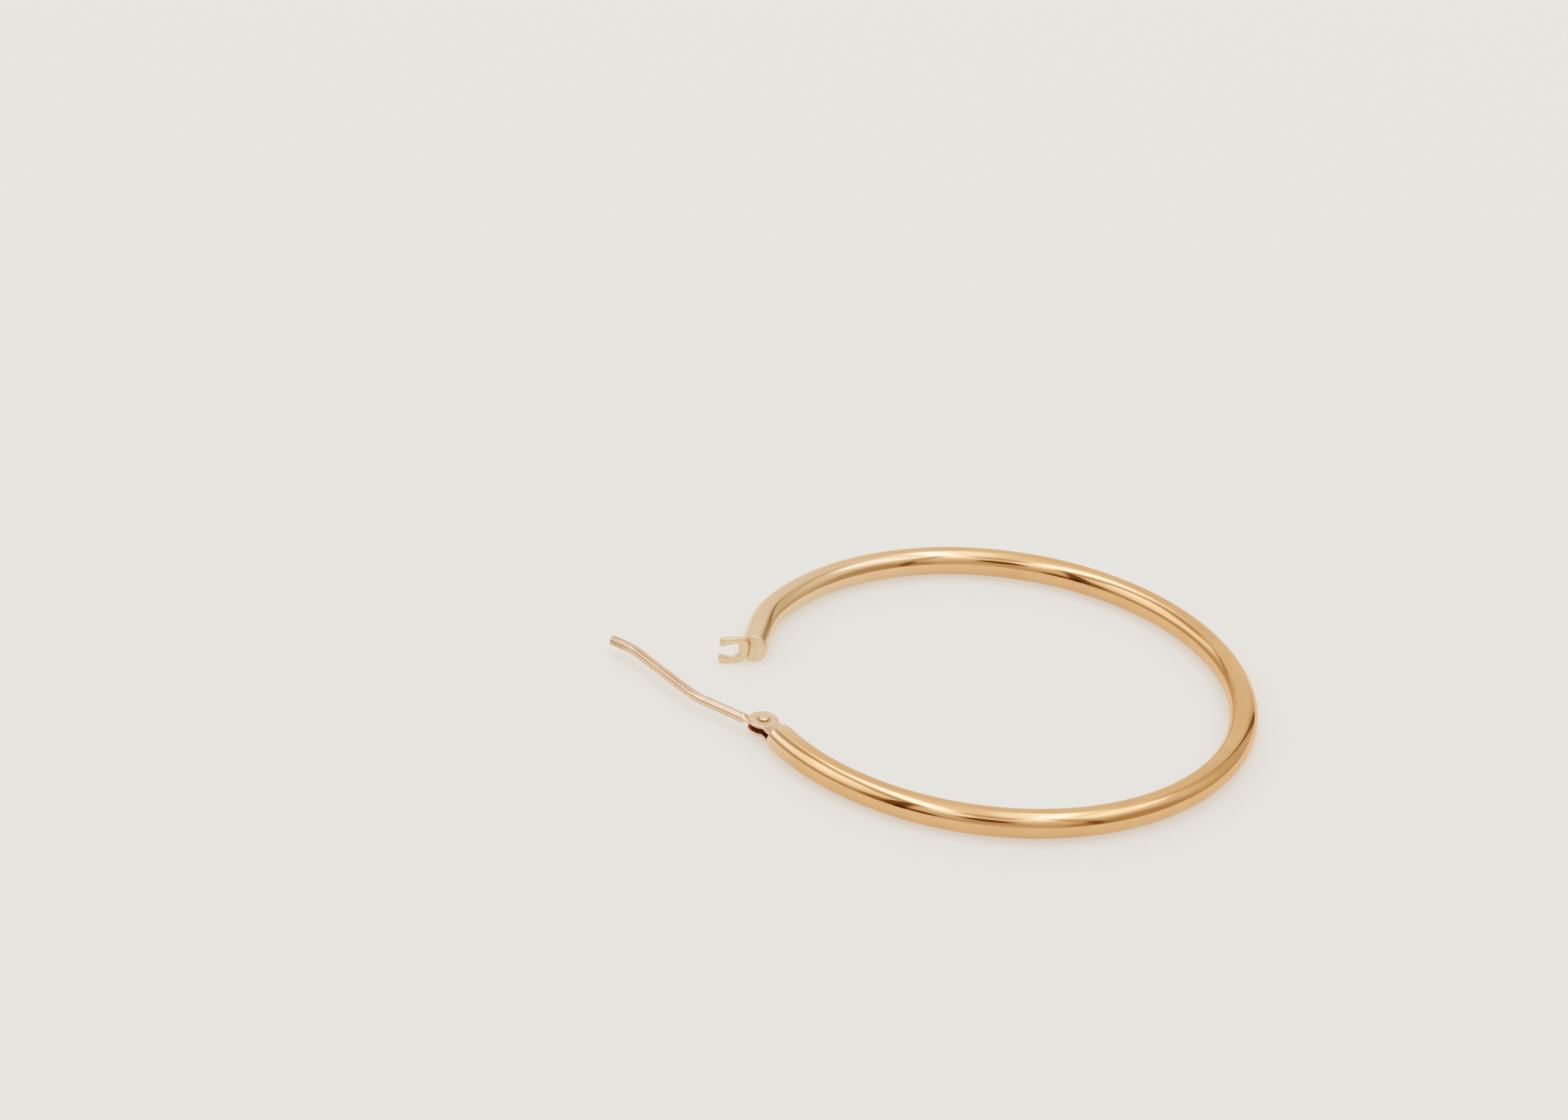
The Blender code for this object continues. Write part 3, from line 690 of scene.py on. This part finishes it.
def wireSurface():
    # Super-ellipse sections: flat between the ears, round from the shoulder on, and shrunk
    # as a quarter ellipse over the rounded tip
    travelled, places, heading = wirePath(swingWire["rows"])
    rounding = np.radians(np.linspace(0.0, nearlyQuarter, swingWire["tipRows"])[1:])
    past = swingWire["tipRounding"] * np.sin(rounding)
    places = np.vstack([places, places[-1] + past[:, None] * polar(1.0, heading[-1])])
    heading = np.concatenate([heading, np.full(len(past), heading[-1])])
    size = np.concatenate([np.ones(len(travelled)), np.cos(rounding)])
    travelled = np.concatenate([travelled, travelled[-1] + past])
    foot = hinge["earRadius"] + swingWire["play"]
    full = smoothStep((travelled - foot) / swingWire["tongueTaper"])
    flat = swingWire["tongueHalfThickness"]
    thick = (flat + (swingWire["radius"] - flat) * full) * size
    wide = swingWire["radius"] * size
    boxy = swingWire["tongueBoxiness"]
    power = (boxy + (1.0 - boxy) * full)[:, None]
    turn = np.linspace(0.0, 2.0 * np.pi, swingWire["columns"], endpoint=False)
    across = swell(np.cos(turn), power) * wide[:, None]
    lift = swingWire["eyeLift"] * (1.0 - full[:, None])
    high = swell(np.sin(turn), power) * thick[:, None] + lift
    side = polar(1.0, heading + 90.0)
    grid = places[:, None] + across[..., None] * side[:, None] + high[..., None] * upwards
    run = np.broadcast_to(travelled[:, None], across.shape)
    return closedSurface(grid, np.stack([run, across, high], axis=-1))


def eyeSurface():
    # A washer: the section is a super-ellipse between the hole and the rim, turned about
    # the pivot
    outer = hinge["earRadius"] - swingWire["eyeInset"]
    inner = rivet["radius"] + swingWire["eyeClearance"]
    turn = np.linspace(0.0, 2.0 * np.pi, swingWire["eyeColumns"], endpoint=False)
    across = swell(np.cos(turn), swingWire["eyeBoxiness"])
    high = swell(np.sin(turn), swingWire["eyeBoxiness"]) * swingWire["eyeHalfThickness"]
    high = high + swingWire["eyeLift"]
    radii = (outer + inner) / 2.0 + across * (outer - inner) / 2.0
    about = np.arange(swingWire["eyeRows"]) * 360.0 / swingWire["eyeRows"]
    grid = pivot + polar(radii[None], about[:, None]) + high[None, :, None] * upwards
    return closedSurface(grid, ring=True)


addPiece("swing_wire", [wireSurface(), eyeSurface()], golds["wireGold"],
         "ear_wire", "wire_gold", "ear_wire")


# Floor, studio light and camera
studio = {
    "paper": (0.365, 0.35, 0.325, 1.0), "paperShade": (0.345, 0.33, 0.305, 1.0),
    "paperGlow": (0.97, 0.94, 0.865, 1.0), "glow": 0.52, "paperGrain": 900.0,
    "paperRoughness": 0.6, "paperSpecular": 0.2, "floorSize": 1.6, "seen": (0.82, 0.80, 0.75, 1.0),
    "rise": [(0.0, 0.40), (0.09, 0.46), (0.18, 0.53), (0.31, 0.64), (0.45, 0.74), (0.60, 0.80),
             (0.80, 0.85), (1.0, 0.90)],
    "backWall": 0.73, "backFrom": (136.0, 160.0), "backTop": (60.0, 36.0),  # degrees
    "lowestRise": 0.02, "redShare": 0.92, "redPower": 0.63, "blueShare": 1.12, "bluePower": 1.63,
}
# Soft ovals on the walls of the light tent, in degrees: azimuth 0 is towards the camera and
# +90 is +X. Columns: azimuth, elevation, half width, half height, softness, light.
tentOvals = [
    (-90.0, 36.5, 37.0, 18.0, 0.45, 1.09),  # left wall, lit from behind
    (-80.0, 47.0, 14.0, 8.0, 0.60, 1.30),
    (-121.0, 47.0, 12.0, 10.0, 0.50, 0.43),
    (-134.0, 22.0, 3.5, 16.0, 0.50, 0.36),  # seam at the back left
    (-88.0, 7.0, 46.0, 7.0, 0.60, 0.42),  # its foot
    (95.0, 58.0, 44.0, 9.0, 0.40, 1.26),  # top of the right wall
    (64.0, 15.0, 24.0, 18.0, 0.50, 0.35),  # its near foot
    (136.0, 28.0, 14.0, 26.0, 0.60, 0.53),
    (143.0, 15.0, 3.0, 22.0, 0.40, 0.12),  # seam at the back right
    (46.0, 36.0, 6.0, 26.0, 0.60, 0.50),  # seam at the front right
    (46.0, 11.0, 11.0, 10.0, 0.60, 0.30),
    (46.5, 19.0, 3.4, 13.0, 0.50, 0.10),
    (14.0, 6.5, 14.0, 4.5, 0.60, 0.60),
    (-17.0, 53.0, 10.0, 9.0, 0.60, 1.22),  # front flap, lit at its top
    (28.0, 55.0, 9.0, 8.0, 0.60, 1.12),
    (3.0, 64.5, 18.0, 6.5, 0.50, 0.53),
    (6.0, 21.0, 15.0, 4.0, 0.60, 0.40),
    (1.5, 35.0, 12.0, 8.0, 0.35, 0.05),  # opening for the lens
    (-42.0, 13.0, 9.0, 12.0, 0.60, 0.17),  # slit of the front flap, and its foot
    (-37.0, 26.0, 5.2, 27.0, 0.35, 0.07),
    (-34.0, 9.0, 3.0, 10.0, 0.30, 0.008),
    (-26.0, 10.0, 7.0, 6.0, 0.50, 0.035),
]
# Lamps and a seam of the roof, as x / height over y / height. Columns: side, slant, half
# width, front end, back end, softness, light.
roofLines = [
    (-0.61, -0.18, 0.03, -0.80, 0.80, 0.14, 0.43),
    (-0.28, -0.10, 0.02, -0.62, 0.45, 0.19, 1.65),
    (0.265, -0.175, 0.02, -0.55, 0.42, 0.15, 1.65),
    (0.12, -0.05, 0.02, -0.25, 0.30, 0.10, 1.2),
]


def buildWorld():
    # The light tent as a function of direction: a rise with height, then soft patches, each
    # mixed in by its mask. Bright light is cooler and dark light warmer, as powers of it.
    # The camera itself sees plain pale paper.
    world = bpy.data.worlds.new("light_tent")
    world.use_nodes = True
    bpy.context.scene.world = world
    start = Signal(world.node_tree)
    direction = start.node("ShaderNodeTexCoord")
    x, y, z = (direction.part(k) for k in range(3))
    degrees = float(np.degrees(1.0))
    azimuth = x.maths("ARCTAN2", 0.0 - y) * degrees
    elevation = z.maths("ARCSINE") * degrees
    light = start.node("ShaderNodeValToRGB", {"stops": studio["rise"]}, {0: elevation / 90.0})
    behind = azimuth.maths("ABSOLUTE").ease(*studio["backFrom"])
    behind = behind * elevation.ease(*studio["backTop"])
    light = light + (studio["backWall"] - light) * behind
    height = z.maths("MAXIMUM", studio["lowestRise"])
    side, depth = x / height, y / height
    for middle, slant, half, front, back, soft, level in roofLines:
        off = (side - middle - depth * slant).maths("ABSOLUTE")
        mask = off.ease(half + soft, half) * depth.ease(front - 2.0 * soft, front + soft)
        mask = mask * depth.ease(back + 2.0 * soft, back - soft)
        light = light + (level - light) * mask
    for across, up, wide, high, soft, level in tentOvals:
        u, v = (azimuth - across) / wide, (elevation - up) / high
        mask = (u * u + v * v).ease((1.0 + soft) ** 2, (1.0 - soft) ** 2)
        light = light + (level - light) * mask
    red = light.maths("POWER", studio["redPower"]) * studio["redShare"]
    blue = light.maths("POWER", studio["bluePower"]) * studio["blueShare"]
    glow = start.node("ShaderNodeCombineColor", None, {0: red, 1: light, 2: blue})
    seen = start.node("ShaderNodeLightPath").mixed(glow, studio["seen"])
    world.node_tree.links.new(seen.socket, world.node_tree.nodes["Background"].inputs["Color"])


def buildFloor():
    # A level sheet of pale paper on a light table, with a faint grain
    half = studio["floorSize"] / 2.0
    mesh = bpy.data.meshes.new("floor")
    corners = np.array([[-1.0, -1.0, 0.0], [1.0, -1.0, 0.0], [1.0, 1.0, 0.0], [-1.0, 1.0, 0.0]])
    mesh.from_pydata((half * corners).tolist(), [], [(0, 1, 2, 3)])
    material = bpy.data.materials.new("pale_paper")
    material.use_nodes = True
    shader = material.node_tree.nodes["Principled BSDF"]
    place = Signal(material.node_tree).node("ShaderNodeTexCoord", output=3)
    tone = place.noise(studio["paperGrain"], 3.0).mixed(studio["paperShade"], studio["paper"])
    material.node_tree.links.new(tone.socket, shader.inputs["Base Color"])
    shader.inputs["Roughness"].default_value = studio["paperRoughness"]
    shader.inputs["Specular IOR Level"].default_value = studio["paperSpecular"]
    shader.inputs["Emission Color"].default_value = studio["paperGlow"]
    shader.inputs["Emission Strength"].default_value = studio["glow"]
    mesh.materials.append(material)
    floor = bpy.data.objects.new("floor", mesh)
    bpy.context.scene.collection.objects.link(floor)


view = {
    "place": (-11.1368 * mm, -277.3189 * mm, 166.4192 * mm),
    "pitch": 29.5419, "roll": 5.9198, "lens": 107.1725,  # degrees down, degrees, millimetres
}


def buildCamera():
    # Looks along +Y, tipped down by the pitch and then turned about its own line of sight
    pitch, roll = np.radians(view["pitch"]), np.radians(view["roll"])
    right = np.array([1.0, 0.0, 0.0])
    up = np.array([0.0, np.sin(pitch), np.cos(pitch)])
    back = np.array([0.0, -np.cos(pitch), np.sin(pitch)])
    turned = np.identity(4)
    turned[:3, 0] = right * np.cos(roll) + up * np.sin(roll)
    turned[:3, 1] = up * np.cos(roll) - right * np.sin(roll)
    turned[:3, 2] = back
    turned[:3, 3] = view["place"]
    data = bpy.data.cameras.new("camera")
    data.lens = view["lens"]
    data.clip_start = 0.01
    camera = bpy.data.objects.new("camera", data)
    bpy.context.scene.collection.objects.link(camera)
    camera.matrix_world = Matrix(turned.tolist())
    bpy.context.scene.camera = camera


buildWorld()
buildFloor()
buildCamera()
bpy.context.scene.view_settings.view_transform = "Standard"
print("floor, light and camera ready")

bpy.context.view_layer.update()
